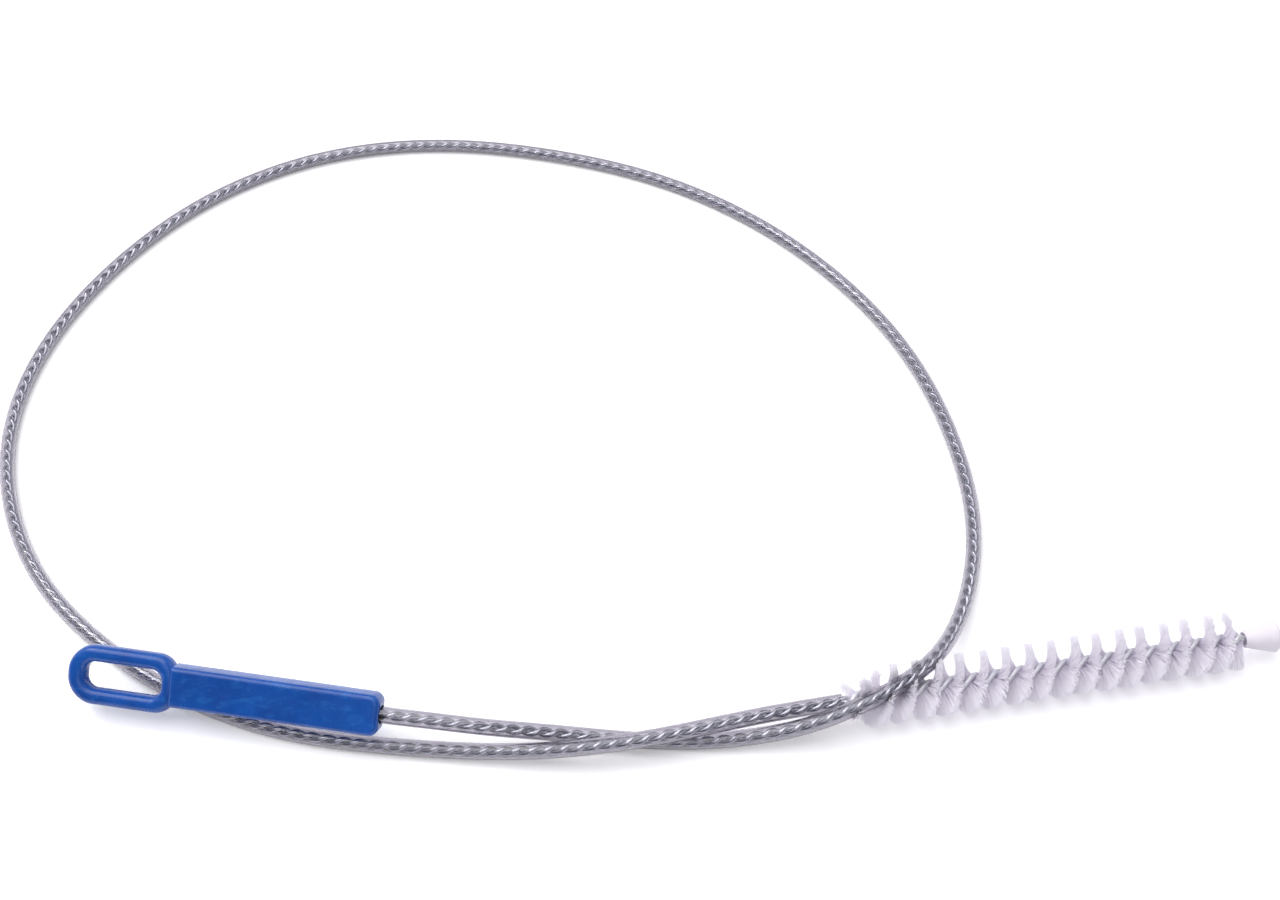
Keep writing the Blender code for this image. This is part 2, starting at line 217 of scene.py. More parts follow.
def link_mesh(
    name: str, points: np.ndarray, faces: np.ndarray, shade: Shade, uv: np.ndarray | None = None
) -> bpy.types.Object:
    """Puts a surface into a new object that sits at the origin.

    Args:
        name: the piece's name.
        points: vertices, (..., 3).
        faces: quads or triangles as vertex numbers, (m, 4) or (m, 3).
        shade: smooth or creased.
        uv: one UV pair for each face corner, in the order of the faces, (..., 2).

    Returns:
        The new object.
    """
    points = points.reshape(-1, 3)
    corners = faces.shape[1]
    mesh = bpy.data.meshes.new(name)
    mesh.vertices.add(len(points))
    mesh.vertices.foreach_set("co", points.astype(np.float32).ravel())
    mesh.loops.add(faces.size)
    mesh.loops.foreach_set("vertex_index", faces.astype(np.int32).ravel())
    mesh.polygons.add(len(faces))
    mesh.polygons.foreach_set("loop_start", np.arange(0, faces.size, corners, dtype=np.int32))
    if uv is not None:
        mesh.uv_layers.new(name="UVMap").data.foreach_set("uv", uv.astype(np.float32).ravel())
    mesh.update(calc_edges=True)
    mesh.validate()
    shade_mesh(mesh, shade)
    obj = bpy.data.objects.new(name, mesh)
    bpy.context.scene.collection.objects.link(obj)
    return obj


def mark_points(obj: bpy.types.Object, name: str, values: np.ndarray) -> None:
    """Gives each point of a piece a number that its material reads.

    Args:
        obj: the piece.
        name: the attribute's name.
        values: a number for each point, (n,).
    """
    attribute = obj.data.attributes.new(name, "FLOAT", "POINT")
    attribute.data.foreach_set("value", values.astype(np.float32))


def tidy_mesh(obj: bpy.types.Object, shade: Shade) -> None:
    """Merges doubled points at seams and poles, drops faces that collapsed and turns all faces outwards.

    Args:
        obj: the piece.
        shade: how the mended mesh is shaded.
    """
    bm = bmesh.new()
    bm.from_mesh(obj.data)
    bmesh.ops.remove_doubles(bm, verts=bm.verts, dist=MERGE_DISTANCE)
    bmesh.ops.dissolve_degenerate(bm, edges=bm.edges, dist=MERGE_DISTANCE)
    bmesh.ops.recalc_face_normals(bm, faces=bm.faces)
    bm.to_mesh(obj.data)
    bm.free()
    shade_mesh(obj.data, shade)


def apply_modifiers(obj: bpy.types.Object) -> None:
    """Replaces the piece's mesh by what its modifiers make of it.

    Args:
        obj: the piece.
    """
    graph = bpy.context.evaluated_depsgraph_get()
    made = bpy.data.meshes.new_from_object(obj.evaluated_get(graph))
    obj.modifiers.clear()
    obj.data = made


def grid_faces(rows: int, columns: int, closed_rows: bool, closed_columns: bool) -> np.ndarray:
    """Quads between the neighbours in a grid of points.

    They face outwards where the rows follow one another ahead and each row runs anticlockwise, as seen from
    ahead.

    Args:
        rows: number of rings.
        columns: points in a ring.
        closed_rows: whether the last ring joins the first.
        closed_columns: whether each ring is closed.

    Returns:
        Vertex numbers, (m, 4).
    """
    row = np.arange(rows if closed_rows else rows - 1)[:, None]
    column = np.arange(columns if closed_columns else columns - 1)[None, :]
    here, there, beside = row * columns, (row + 1) % rows * columns, (column + 1) % columns
    quads = np.stack([here + column, here + beside, there + beside, there + column], axis=-1)
    return quads.reshape(-1, 4)


def smooth_route(points: np.ndarray, start: np.ndarray, end: np.ndarray, samples: int) -> np.ndarray:
    """Dense points on one smooth cubic curve through the route's points.

    Each span is the Hermite cubic between two points. The slopes solve one linear system, which makes the
    curve bend as much before each point as after it.

    Args:
        points: the route's points, (n, 3).
        start: direction in which the route leaves its first point.
        end: direction in which it reaches its last point.
        samples: points worked out for each span.

    Returns:
        Points along the curve, (m, 3).
    """
    steps = np.diff(points, axis=0)
    spans = np.linalg.norm(steps, axis=1)[:, None]
    before, after = spans[:-1], spans[1:]
    inner = np.arange(1, len(points) - 1)
    system = np.eye(len(points))
    system[inner, inner - 1] = after[:, 0]
    system[inner, inner] = 2 * (before + after)[:, 0]
    system[inner, inner + 1] = before[:, 0]
    rise = steps / spans
    slopes = np.linalg.solve(
        system, np.concatenate([[start], 3 * (after * rise[:-1] + before * rise[1:]), [end]])
    )
    t = np.linspace(0, 1, samples, endpoint=False)[:, None, None]
    leaving, arriving = slopes[:-1] * spans, slopes[1:] * spans
    ease = 3 * t**2 - 2 * t**3
    dense = points[:-1] + ease * steps + (t**3 - 2 * t**2 + t) * leaving + (t**3 - t**2) * arriving
    return np.concatenate([dense.swapaxes(0, 1).reshape(-1, 3), points[-1:]])


def lengths_along(line: np.ndarray) -> np.ndarray:
    """Distance of each point of a line from its start, along the line."""
    return np.concatenate([[0], np.cumsum(np.linalg.norm(np.diff(line, axis=0), axis=1))])


def resample(line: np.ndarray, wanted: np.ndarray) -> np.ndarray:
    """Points at the wanted distances along a line of points."""
    along = lengths_along(line)
    return np.stack([np.interp(wanted, along, line[:, axis]) for axis in range(3)], axis=1)


def unit(vectors: np.ndarray) -> np.ndarray:
    """The same vectors at length 1."""
    return vectors / np.linalg.norm(vectors, axis=-1, keepdims=True)


def heading(yaw: float) -> np.ndarray:
    """Level direction that lies the given turn from +X."""
    return np.array([math.cos(yaw), math.sin(yaw), 0.0])


def level_frame(line: np.ndarray) -> tuple[np.ndarray, np.ndarray, np.ndarray]:
    """Directions along, to the left of and above each point of a line that never stands upright.

    Args:
        line: points, (n, 3).

    Returns:
        Unit vectors ahead, left and up, (n, 3) each.
    """
    ahead = unit(np.gradient(line, axis=0))
    left = unit(np.cross((0.0, 0.0, 1.0), ahead))
    return ahead, left, np.cross(ahead, left)


def sweep(line: np.ndarray, left: np.ndarray, up: np.ndarray, radius: np.ndarray, sides: int) -> np.ndarray:
    """Rings of one or more round rods: line + radius * (cos a * left + sin a * up).

    Args:
        line: centre lines, (..., n, 3).
        left: first direction across the rod, (..., n, 3).
        up: second direction across it, (..., n, 3).
        radius: radius at each point, (..., n).
        sides: points in a ring.

    Returns:
        Points, (..., n, sides, 3).
    """
    turn = np.linspace(0, 2 * math.pi, sides, endpoint=False)[:, None]
    across = np.cos(turn) * left[..., None, :] + np.sin(turn) * up[..., None, :]
    return line[..., None, :] + radius[..., None, None] * across


def turned(profile: np.ndarray, steps: int) -> np.ndarray:
    """A profile turned on +X: each (radius, x) becomes the circle (x, radius * cos a, radius * sin a).

    Args:
        profile: radius and x of each ring, (rings, 2).
        steps: points in a ring.

    Returns:
        Points, (rings, steps, 3).
    """
    turn = np.linspace(0, 2 * math.pi, steps, endpoint=False)
    radius, x = profile[:, :1], np.broadcast_to(profile[:, 1:], (len(profile), steps))
    return np.stack([x, radius * np.cos(turn), radius * np.sin(turn)], axis=-1)


def placed(points: np.ndarray, place: np.ndarray, yaw: float, roll: float) -> np.ndarray:
    """Points of a piece's own frame, rolled on its +X, turned on +Z and moved to its place.

    Args:
        points: points in the piece's frame, (..., 3).
        place: where its origin goes.
        yaw: turn on +Z.
        roll: turn on +X.

    Returns:
        Points in the row frame, (..., 3).
    """
    x, y, z = np.moveaxis(points, -1, 0)
    y, z = y * math.cos(roll) - z * math.sin(roll), y * math.sin(roll) + z * math.cos(roll)
    x, y = x * math.cos(yaw) - y * math.sin(yaw), x * math.sin(yaw) + y * math.cos(yaw)
    return np.stack([x, y, z], axis=-1) + place


def dress(obj: bpy.types.Object, material: bpy.types.Material, slot: str, *nodes: str) -> bpy.types.Object:
    """Gives a piece its material and its body, and hides the solids that it stands for.

    Args:
        obj: the piece.
        material: its finish.
        slot: the record's material slot; not used.
        nodes: solids that it replaces.

    Returns:
        The piece.
    """
    obj.data.materials.append(material)
    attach(obj, "root")
    if nodes:
        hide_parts(*nodes)
    LOG.info("%s: %d faces", obj.name, len(obj.data.polygons))
    return obj


@dataclass(frozen=True)
class MouldedPlastic:
    """Glossy injection-moulded polypropylene. It shows soft highlights, faint flow clouds and rub marks."""

    name: str = "moulded polypropylene, blue"
    colour: str = "024293"
    cloud_colour: str = "044ea4"
    scuff_colour: str = "2c78c4"
    ior: float = 1.49
    roughness: float = 0.23
    scuff_size: float = 1.8 * MM
    scuff_stretch: float = 0.35
    scuff_strength: float = 0.5
    cloud_size: float = 9 * MM
    # the mould's real grain is under 0.1 mm; it is drawn this coarse so that it shows
    grain_size: float = 0.35 * MM
    dent_size: float = 3.2 * MM
    grain_depth: float = 0.006 * MM
    dent_depth: float = 0.05 * MM
    # levels of the noise between which clouds, rub marks and duller skin come in
    cloud_band: tuple[float, float] = (0.35, 0.7)
    scuff_band: tuple[float, float] = (0.52, 0.78)
    dull_band: tuple[float, float] = (0.3, 0.75)
    # how far the skin's roughness lies off the plastic's own at the two ends of that last band
    dull_range: tuple[float, float] = (-0.05, 0.1)

    def build(self) -> bpy.types.Material:
        """Makes the material: flow clouds and rub marks in the colour, duller spots, shallow dents and grain.

        Returns:
            The material.
        """
        material, tree, shader = new_material(self.name)
        where = add_node(tree, "ShaderNodeTexCoord").outputs["Object"]
        cloud = add_node(
            tree, "ShaderNodeTexNoise", {"Vector": where, "Scale": 1 / self.cloud_size, "Detail": 3.0}
        )
        stops = tuple(zip(self.cloud_band, (self.colour, self.cloud_colour)))
        clouded = add_node(tree, "ShaderNodeValToRGB", {"Fac": cloud.outputs["Fac"]}, stops)
        rubbed = add_node(
            tree,
            "ShaderNodeMapping",
            {"Vector": where, "Rotation": (0, 0, -HANDLE_YAW), "Scale": (self.scuff_stretch, 1, 1)},
        )
        marks = add_node(
            tree,
            "ShaderNodeTexNoise",
            {
                "Vector": rubbed.outputs["Vector"],
                "Scale": 1 / self.scuff_size,
                "Detail": 6.0,
                "Roughness": 0.65,
                "Distortion": 1.2,
            },
        )
        worn = add_node(
            tree,
            "ShaderNodeMapRange",
            {
                "Value": marks.outputs["Fac"],
                "From Min": self.scuff_band[0],
                "From Max": self.scuff_band[1],
                "To Max": self.scuff_strength,
            },
        )
        colour = add_node(
            tree,
            "ShaderNodeMix",
            {
                "Factor": worn.outputs["Result"],
                MIX_A: clouded.outputs["Color"],
                MIX_B: linear(self.scuff_colour),
            },
            data_type="RGBA",
        )
        dent = add_node(
            tree, "ShaderNodeTexNoise", {"Vector": where, "Scale": 1 / self.dent_size, "Detail": 6.0}
        )
        dull = add_node(
            tree,
            "ShaderNodeMapRange",
            {
                "Value": dent.outputs["Fac"],
                "From Min": self.dull_band[0],
                "From Max": self.dull_band[1],
                "To Min": self.roughness + self.dull_range[0],
                "To Max": self.roughness + self.dull_range[1],
            },
        )
        grain = add_node(
            tree, "ShaderNodeTexNoise", {"Vector": where, "Scale": 1 / self.grain_size, "Detail": 2.0}
        )
        dents = add_node(tree, "ShaderNodeBump", {"Height": dent.outputs["Fac"], "Distance": self.dent_depth})
        bump = add_node(
            tree,
            "ShaderNodeBump",
            {"Height": grain.outputs["Fac"], "Normal": dents.outputs["Normal"], "Distance": self.grain_depth},
        )
        feed(
            shader,
            {
                "Base Color": colour.outputs[MIX_RESULT],
                "IOR": self.ior,
                "Roughness": dull.outputs["Result"],
                "Normal": bump.outputs["Normal"],
            },
        )
        return material


@dataclass(frozen=True)
class ClearPvc:
    """Extruded soft PVC. Light bends through it: wires in the middle, a lavender grey rim on both sides."""

    name: str = "extruded clear PVC"
    colour: str = "ffffff"
    # what the plasticiser's haze lets through of white light, at this many absorptions a metre
    haze_colour: str = "817393"
    haze_density: float = 970.0
    ior: float = 1.53
    roughness: float = 0.03
    ripple_length: float = 5 * MM
    ripple_depth: float = 0.01 * MM

    def build(self) -> bpy.types.Material:
        """Makes the material: a clear wall with a slight tint and the long ripples that extrusion leaves.

        Returns:
            The material.
        """
        material, tree, shader = new_material(self.name)
        where = add_node(tree, "ShaderNodeTexCoord").outputs["Object"]
        ripple = add_node(tree, "ShaderNodeTexNoise", {"Vector": where, "Scale": 1 / self.ripple_length})
        bump = add_node(
            tree, "ShaderNodeBump", {"Height": ripple.outputs["Fac"], "Distance": self.ripple_depth}
        )
        feed(
            shader,
            {
                "Base Color": linear(self.colour),
                "IOR": self.ior,
                "Roughness": self.roughness,
                "Transmission Weight": 1.0,
                "Normal": bump.outputs["Normal"],
            },
        )
        haze = add_node(
            tree,
            "ShaderNodeVolumeAbsorption",
            {"Color": linear(self.haze_colour), "Density": self.haze_density},
        )
        feed(tree.nodes["Material Output"], {"Volume": haze.outputs["Volume"]})
        return material


@dataclass(frozen=True)
class DrawnWire:
    """Galvanised steel wire. It shows bright with short white dashes in the sheath, and dull in the head."""

    name: str = "drawn galvanised steel wire"
    colour: str = "dcdfe3"
    dull_colour: str = "cbced3"
    bare_colour: str = "dedfe2"
    roughness: float = 0.17
    bare_roughness: float = 0.6
    # real die lines are about 0.02 mm apart; they are drawn this coarse so that they show
    line_width: float = 0.2 * MM
    line_depth: float = 0.002 * MM
    line_stretch: float = 0.03
    spangle_size: float = 2.5 * MM
    # levels of the noise between which the zinc turns from dull to bright
    spangle_band: tuple[float, float] = (0.38, 0.62)

    def build(self) -> bpy.types.Material:
        """Makes the material: zinc spangle in the colour, die lines along the wire as bump on its own UV.

        Returns:
            The material.
        """
        material, tree, shader = new_material(self.name)
        places = add_node(tree, "ShaderNodeTexCoord").outputs
        spangle = add_node(
            tree,
            "ShaderNodeTexNoise",
            {"Vector": places["Object"], "Scale": 1 / self.spangle_size, "Detail": 4.0},
        )
        stops = tuple(zip(self.spangle_band, (self.dull_colour, self.colour)))
        bright = add_node(tree, "ShaderNodeValToRGB", {"Fac": spangle.outputs["Fac"]}, stops)
        bare = add_node(tree, "ShaderNodeAttribute", attribute_name="bare").outputs["Fac"]
        colour = add_node(
            tree,
            "ShaderNodeMix",
            {"Factor": bare, MIX_A: bright.outputs["Color"], MIX_B: linear(self.bare_colour)},
            data_type="RGBA",
        )
        gloss = add_node(
            tree,
            "ShaderNodeMapRange",
            {"Value": bare, "To Min": self.roughness, "To Max": self.bare_roughness},
        )
        drawn = add_node(
            tree, "ShaderNodeMapping", {"Vector": places["UV"], "Scale": (self.line_stretch, 1.0, 1.0)}
        )
        lines = add_node(
            tree,
            "ShaderNodeTexNoise",
            {"Vector": drawn.outputs["Vector"], "Scale": 1 / self.line_width, "Detail": 2.0},
        )
        bump = add_node(tree, "ShaderNodeBump", {"Height": lines.outputs["Fac"], "Distance": self.line_depth})
        feed(
            shader,
            {
                "Base Color": colour.outputs[MIX_RESULT],
                "Metallic": 1.0,
                "Roughness": gloss.outputs["Result"],
                "Normal": bump.outputs["Normal"],
            },
        )
        return material


@dataclass(frozen=True)
class NylonFilament:
    """Extruded nylon 6 filament. It is milky white with a lavender cast and satin, with painted shade at its
    crowded roots.
    """

    name: str = "nylon filament, white"
    colour: str = "fefdff"
    # the root's colour is painted shade: greyer where the strands crowd round the core
    root_shade_colour: str = "f7f4fa"
    ior: float = 1.53
    roughness: float = 0.42
    glow: float = 0.5
    darkest_tone: float = 0.98
    # shares of a strand's length between which the painted shade of the crowded root turns to the free end's
    # colour
    root_shade_band: tuple[float, float] = (0.12, 0.5)

    def build(self) -> bpy.types.Material:
        """Makes the material: painted shade at the crowded root fades into the cut end's colour, with each
        strand's own tone.

        Returns:
            The material.
        """
        material, tree, shader = new_material(self.name)
        along = add_node(tree, "ShaderNodeAttribute", attribute_name="along_strand").outputs["Fac"]
        tone = add_node(tree, "ShaderNodeAttribute", attribute_name="strand_tone").outputs["Fac"]
        stops = tuple(zip(self.root_shade_band, (self.root_shade_colour, self.colour)))
        colour = add_node(tree, "ShaderNodeValToRGB", {"Fac": along}, stops).outputs["Color"]
        shade = add_node(
            tree, "ShaderNodeMapRange", {"Value": tone, "To Min": self.darkest_tone, "To Max": 1.0}
        )
        colour = add_node(
            tree, "ShaderNodeHueSaturation", {"Color": colour, "Value": shade.outputs["Result"]}
        ).outputs["Color"]
        feed(shader, {"Base Color": colour, "IOR": self.ior, "Roughness": self.roughness})
        translucent = add_node(tree, "ShaderNodeBsdfTranslucent", {"Color": colour})
        mix = add_node(
            tree,
            "ShaderNodeMixShader",
            {"Fac": self.glow, 1: shader.outputs["BSDF"], 2: translucent.outputs["BSDF"]},
        )
        feed(tree.nodes["Material Output"], {"Surface": mix.outputs["Shader"]})
        return material


@dataclass(frozen=True)
class TipPlastic:
    """Moulded polyethylene. It is waxy off-white, with a wide soft highlight, and light bleeds through it."""

    name: str = "moulded polyethylene, off-white"
    colour: str = "e8e3ea"
    haze_colour: str = "e2dce5"
    ior: float = 1.51
    roughness: float = 0.5
    bleed: float = 0.25
    bleed_depth: float = 1.2 * MM
    # how deep red, green and blue go, as shares of that depth
    bleed_shares: tuple[float, float, float] = (1.0, 0.9, 0.95)
    haze_size: float = 2.2 * MM
    haze_depth: float = 0.02 * MM
    # levels of the noise between which the plastic turns hazy
    haze_band: tuple[float, float] = (0.3, 0.75)

    def build(self) -> bpy.types.Material:
        """Makes the material: a little light scattered under the skin, and the moulding's faint unevenness.

        Returns:
            The material.
        """
        material, tree, shader = new_material(self.name)
        where = add_node(tree, "ShaderNodeTexCoord").outputs["Object"]
        haze = add_node(
            tree, "ShaderNodeTexNoise", {"Vector": where, "Scale": 1 / self.haze_size, "Detail": 3.0}
        )
        stops = tuple(zip(self.haze_band, (self.colour, self.haze_colour)))
        tint = add_node(tree, "ShaderNodeValToRGB", {"Fac": haze.outputs["Fac"]}, stops)
        bump = add_node(tree, "ShaderNodeBump", {"Height": haze.outputs["Fac"], "Distance": self.haze_depth})
        feed(
            shader,
            {
                "Base Color": tint.outputs["Color"],
                "IOR": self.ior,
                "Roughness": self.roughness,
                "Subsurface Weight": self.bleed,
                "Subsurface Scale": self.bleed_depth,
                "Subsurface Radius": self.bleed_shares,
                "Normal": bump.outputs["Normal"],
            },
        )
        return material


@dataclass
class Stem:
    """Flexible stem: two steel wires twisted left-handed in a clear sheath, laid in one loose loop."""

    sheath_diameter: float = 4 * MM
    sheath_wall: float = 0.5 * MM
    wire_diameter: float = 1.3 * MM
    closed_gap: float = 0.06 * MM
    half_pitch: float = 3.9 * MM
    in_socket: float = 20 * MM
    wires_sag: float = 0.1 * MM
    sag_ease: float = 10 * MM
    short_of_head: float = 3 * MM
    bare_ease: float = 2 * MM
    sheath_step: float = 1.5 * MM
    sheath_sides: int = 40
    wire_sides: int = 14
    steps_per_half_turn: int = 14
    # points of the centre line: in the socket, in each span of the route, and beyond the stem's end
    socket_points: int = 20
    span_points: int = 30
    head_points: int = 200

    def centre_line(self) -> np.ndarray:
        """Centre line from inside the socket to the start of the head, about 1 mm between points.

        Returns:
            Points, (n, 3).
        """
        route = smooth_route(np.array(STEM_ROUTE), heading(HANDLE_YAW), heading(HEAD_YAW), self.span_points)
        route[:, 2] = np.maximum(route[:, 2], self.sheath_diameter / 2)
        inside = np.linspace(self.in_socket, MM, self.socket_points)[:, None]
        return np.concatenate([route[0] - inside * heading(HANDLE_YAW), route])

    def sheath(self, wires: list[bpy.types.Object], finish: bpy.types.Material) -> bpy.types.Object:
        """The surface is the circle of the outer wall carried along the centre line, and that of the bore
        carried back.

        Args:
            wires: the two wires that run through it; not used.
            finish: the clear plastic.

        Returns:
            The piece.
        """
        line = self.centre_line()
        total = lengths_along(line)[-1] - self.short_of_head
        line = resample(line, np.linspace(0, total, round(total / self.sheath_step)))
        _, left, up = level_frame(line)
        outer = np.full(len(line), self.sheath_diameter / 2)
        out = sweep(line, left, up, outer, self.sheath_sides)
        back = sweep(line[::-1], left[::-1], up[::-1], outer - self.sheath_wall, self.sheath_sides)
        faces = grid_faces(2 * len(line), self.sheath_sides, True, True)
        tube = link_mesh("sheath_tube", np.concatenate([out, back]), faces, Shade.CREASED)
        dress(tube, finish, "clear_pvc", "stem_sheath")
        LOG.info("sheath is %.3f m long", total)
        return tube

    def wire(self, side: Side, head: "Head", finish: bpy.types.Material) -> bpy.types.Object:
        """Makes one wire, whole, from the socket through stem and head into the tip.

        Its centre is the stem's or head's axis plus radius * (sin a * left + cos a * up). The angle a grows
        by half a turn in each half pitch, from above towards the left, which makes the twist left-handed. The
        radius eases from its closed value to its open one in the head and back in the tip. In the stem the
        pair rests on the sheath's bore.

        Args:
            side: which of the two wires.
            head: the bristle head that the wire runs through.
            finish: the steel.

        Returns:
            The piece.
        """
        # axis of stem and head, with even steps from point to point
        stem = self.centre_line()
        stem_length = lengths_along(stem)[-1]
        beyond = head.length + head.tip_set_off + head.wire_in_tip
        further = np.linspace(MM, beyond, self.head_points)[:, None] * heading(HEAD_YAW)
        half_turns = stem_length / self.half_pitch + head.length / head.half_pitch
        along = np.linspace(0, stem_length + beyond, round(half_turns * self.steps_per_half_turn))
        axis = resample(np.concatenate([stem, stem[-1] + further]), along)
        _, left, up = level_frame(axis)
        # angle of the twist and distance from the axis
        in_head = along - stem_length
        wound = np.clip(in_head, 0, head.length) / head.half_pitch
        angle = np.where(in_head < 0, in_head / self.half_pitch, wound) * math.pi
        closed = (self.wire_diameter + self.closed_gap) / 2
        opening = np.clip((in_head + self.short_of_head) / self.short_of_head, 0, 1)
        closing = np.clip((head.length + head.tip_set_off - in_head) / head.tip_set_off, 0, 1)
        ease = np.minimum(opening, closing)
        radius = closed + (head.wire_centres / 2 - closed) * ease**2 * (3 - 2 * ease)
        # the wire's own centre line and its rings
        outward = side.value * (np.sin(angle)[:, None] * left + np.cos(angle)[:, None] * up)
        sag = self.wires_sag * np.clip(-in_head / self.sag_ease, 0, 1)
        line = axis + radius[:, None] * outward - sag[:, None] * up
        ahead = unit(np.gradient(line, axis=0))
        across = unit(outward - (outward * ahead).sum(axis=1, keepdims=True) * ahead)
        thickness = np.full(len(line), self.wire_diameter / 2)
        rings = sweep(line, across, np.cross(ahead, across), thickness, self.wire_sides)
        rings[0], rings[-1] = line[0], line[-1]
        # way along the wire and round it as UV, in metres
        u = np.broadcast_to(lengths_along(line)[:, None], (len(line), self.wire_sides + 1))
        v = np.broadcast_to(np.linspace(0, math.pi * self.wire_diameter, self.wire_sides + 1), u.shape)
        uv = np.stack([u, v], axis=-1)
        corners = np.stack([uv[:-1, :-1], uv[:-1, 1:], uv[1:, 1:], uv[1:, :-1]], axis=2)
        faces = grid_faces(len(line), self.wire_sides, False, True)
        name = f"wire_{side.name.lower()}"
        wire = link_mesh(name, rings, faces, Shade.SMOOTH, corners)
        bare = np.clip((in_head + self.short_of_head) / self.bare_ease, 0, 1)
        mark_points(wire, "bare", np.repeat(bare, self.wire_sides))
        tidy_mesh(wire, Shade.SMOOTH)
        return dress(wire, finish, "steel_wire", f"core_{name}")


@dataclass
class Head:
    """Bristle head: a sheet of nylon pinched between the wires and wound into a left-handed double helix."""

    length: float = 98 * MM
    half_turns: int = 17
    diameter: float = 14.4 * MM
    wire_centres: float = 3.0 * MM
    tip_set_off: float = 1.6 * MM
    wire_in_tip: float = 5.2 * MM
    pinch_gap: float = 1.7 * MM
    pinch_close: float = 0.6
    half_offset: float = 0.2 * MM
    # the strands themselves
    strands_per_side: int = 6000
    strand_diameter: float = 0.18 * MM
    strand_taper: float = 0.15
    strand_sides: int = 3
    strand_points: int = 6
    root_radius: float = 0.1 * MM
    # how far they spread along the axis: at the root, and at the end on the free side and on the table's side
    root_spread: float = 1.5 * MM
    free_spread: float = 0.6 * MM
    pressed_spread: float = 0.8 * MM
    top_flare: float = 0.35 * MM
    flare_power: int = 8
    free_direction: float = math.radians(35)
    # scatter of each strand, and of each tuft as a whole
    angle_scatter: float = math.radians(2.5)
    swing_scatter: float = 0.02
    length_scatter: float = 0.05 * MM
    bend_scatter: float = 0.08 * MM
    tuft_lean: float = 0.22 * MM
    tuft_length: float = 0.1 * MM
    # crushed strands at the stem's end: where they are, and each value before and behind the middle
    crushed_length: float = 6.6 * MM
    crushed_middle: float = 4.4 * MM
    crushed_lean: tuple[float, float] = (-1.44 * MM, 1.8 * MM)
    crushed_loss: tuple[float, float] = (2.2 * MM, 0.9 * MM)
    crushed_ragged: float = 1.2 * MM
    crushed_spread: float = 0.3 * MM
    # first tufts on the table's side, and last tufts on the free side
    first_tuft: float = 6.0 * MM
    first_lean: float = 2.4 * MM
    last_tuft: float = 4.5 * MM
    last_lean: float = -0.7 * MM
    last_gather: float = 0.5 * MM
    # how far past the head's end a root may lie, and how far short of it every strand ends
    end_slack: float = 1.0 * MM
    end_lean: float = 1.0 * MM
    floor_gap: float = 0.05 * MM
    stem_reach: float = 60 * MM
    seed: int = 63

    @property
    def half_pitch(self) -> float:
        """Length in which the wires turn by half a turn."""
        return self.length / self.half_turns

    def strand_lines(self, side: Side) -> tuple[np.ndarray, np.ndarray, np.ndarray]:
        """Centre lines of one half of the sheet's strands, in the row frame.

        A strand leaves the core in the direction to which the sheet has turned there, from anywhere in the
        gap between the wires. On its way out it spreads a little along the axis, more on the table's side
        than on the free side, and leans with its tuft by the square of the way.

        Args:
            side: which half of the sheet.

        Returns:
            Points (strands, points, 3), share of the way at each point (points,), and each strand's tone.
        """
        rng = np.random.default_rng(self.seed + side.value)
        count, tufts = self.strands_per_side, self.half_turns + 2
        # place of the root, direction, tuft, and how free of the table the tuft's side is
        root = np.sort(rng.uniform(0, self.length, count))
        angle = -math.pi * (root - side.value * self.half_offset) / self.half_pitch
        angle += rng.normal(0, self.angle_scatter, count) + (math.pi if side is Side.B else 0.0)
        tuft = np.round((angle - self.free_direction) / (2 * math.pi)).astype(int)
        off_free = angle - self.free_direction - 2 * math.pi * tuft
        freedom = np.clip(np.cos(off_free), 0, 1)
        # length, less where the stem's end crushes the strands
        tuft_lean = rng.normal(0, self.tuft_lean, tufts)[tuft % tufts]
        tuft_length = rng.normal(0, self.tuft_length, tufts)[tuft % tufts]
        reach = self.diameter / 2 + tuft_length + rng.normal(0, self.length_scatter, count)
        place = rng.uniform(-1, 1, count)
        crushed = freedom * (root < self.crushed_length)
        before_middle = root < self.crushed_middle
        reach -= crushed * (np.where(before_middle, *self.crushed_loss) + self.crushed_ragged * place**2)
        share = np.linspace(0, 1, self.strand_points)
        radius = self.root_radius + (reach[:, None] - self.root_radius) * share
        # spread and lean along the axis
        end_spread = self.free_spread + (self.pressed_spread - self.free_spread) * (1 - np.cos(off_free)) / 2
        last = freedom * (root > self.length - self.last_tuft)
        end_spread += self.top_flare * freedom**self.flare_power
        end_spread += self.crushed_spread * crushed - self.last_gather * last
        spread = end_spread[:, None] + (self.root_spread - end_spread[:, None]) * (1 - share) ** 2
        bend = rng.normal(0, self.bend_scatter, count) + tuft_lean * freedom + self.last_lean * last
        bend += crushed * np.where(before_middle, *self.crushed_lean)
        bend -= self.first_lean * np.clip(1 - root / self.first_tuft, 0, 1) * (1 - freedom)
        along = root[:, None] + place[:, None] * spread + bend[:, None] * share**2
        along = np.minimum(along, self.length + self.end_slack - (self.end_lean + self.end_slack) * share)
        # place across the axis
        swing = angle[:, None] + rng.normal(0, self.swing_scatter, count)[:, None] * share**2
        layer = rng.uniform(-0.5, 0.5, count)[:, None] * self.pinch_gap * (1 - self.pinch_close * share)
        y = radius * np.cos(swing) - layer * np.sin(swing)
        z = radius * np.sin(swing) + layer * np.cos(swing)
        lines = placed(np.stack([along, y, z], axis=-1), HEAD_START, HEAD_YAW, 0.0)
        return lines, share, rng.uniform(0, 1, count)

